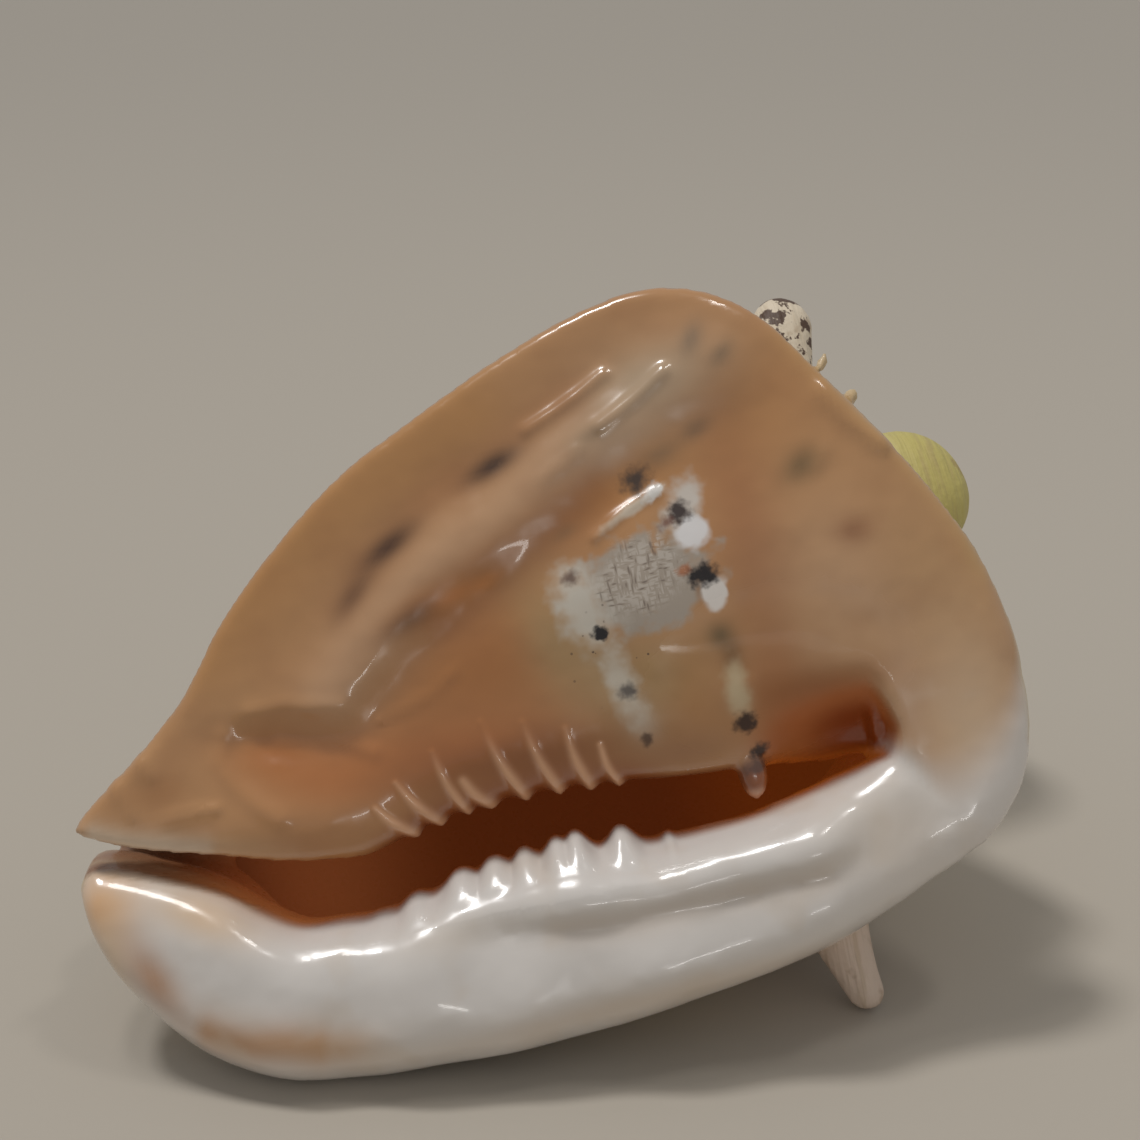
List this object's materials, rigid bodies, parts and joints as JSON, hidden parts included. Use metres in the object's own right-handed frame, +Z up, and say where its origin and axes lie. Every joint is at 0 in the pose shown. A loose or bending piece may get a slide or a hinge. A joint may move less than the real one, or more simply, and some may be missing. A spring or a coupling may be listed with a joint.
{
  "type": "helmet shell",
  "caption": "Empty horned helmet shell resting on its outer lip, a horn and its back, with the glossy shield and the long toothed mouth facing forwards.",
  "frame": {"origin": "centre of the bounding box's bottom, on the surface the shell rests on", "axes": "+X along the shell from the canal end towards the spire, +Y away from the viewer who faces the mouth, +Z up"},
  "size_m": [0.2436, 0.1706, 0.1799],
  "materials": {
    "shell": "gloss"
  },
  "bodies": {
    "root": {"shell": "shell"}
  },
  "joints": []
}
